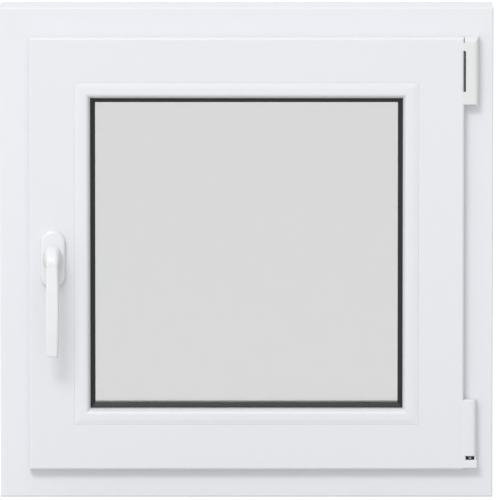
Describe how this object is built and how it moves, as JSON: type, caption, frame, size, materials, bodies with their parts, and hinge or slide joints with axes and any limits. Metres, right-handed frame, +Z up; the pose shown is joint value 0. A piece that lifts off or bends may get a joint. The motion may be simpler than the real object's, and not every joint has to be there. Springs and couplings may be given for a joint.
{
  "type": "tilt and turn window",
  "caption": "Square white uPVC tilt and turn window, closed, with mitred multi-chamber frame and sash, double glazing, lever handle on the left and covered hinges on the right.",
  "frame": {"origin": "middle of the frame's bottom face, in width and in depth", "axes": "+X to the right as seen from the room (handle on -X, hinges on +X), +Y outdoors, +Z up"},
  "size_m": [0.6, 0.1394, 0.6],
  "materials": {
    "frame_upvc": "satin",
    "sash_upvc": "satin",
    "bead_upvc": "satin",
    "cover_plastic": "satin",
    "gasket": "matt",
    "sash_seal": "matt",
    "glass": "clear",
    "spacer": "matt",
    "sealant": "matt",
    "handle_paint": "satin",
    "steel": "zinc plated",
    "dark_steel": "satin"
  },
  "bodies": {
    "window": {"frame_head": "frame_upvc", "frame_sill": "frame_upvc", "frame_jamb_left": "frame_upvc", "frame_jamb_right": "frame_upvc", "frame_gasket": "gasket", "drain_caps": "cover_plastic", "sash_top_rail": "sash_upvc", "sash_bottom_rail": "sash_upvc", "sash_stile_handle": "sash_upvc", "sash_stile_hinge": "sash_upvc", "sash_gasket": "sash_seal", "bead_top": "bead_upvc", "bead_bottom": "bead_upvc", "bead_left": "bead_upvc", "bead_right": "bead_upvc", "glass_room_side": "glass", "glass_outer_side": "glass", "spacer_bar": "spacer", "edge_sealant": "sealant", "glazing_gasket_room": "gasket", "glazing_gasket_outer": "gasket", "handle_rosette": "handle_paint", "top_hinge_cover": "cover_plastic", "top_hinge_bearing": "steel", "top_hinge_pin": "steel", "stay_arm_knuckle": "dark_steel", "bottom_hinge_cover": "cover_plastic", "bottom_hinge_leaf": "steel", "bottom_hinge_pivot": "dark_steel", "bottom_hinge_bearing": "cover_plastic"},
    "handle": {"handle_lever": "handle_paint", "handle_spindle": "steel"}
  },
  "joints": [
    {"name": "handle_turn", "type": "hinge", "parent": "window", "child": "handle", "pos_m": [-0.2355, -0.06, 0.2945], "axis": [0, -1, 0], "range_deg": [0, 180]}
  ]
}
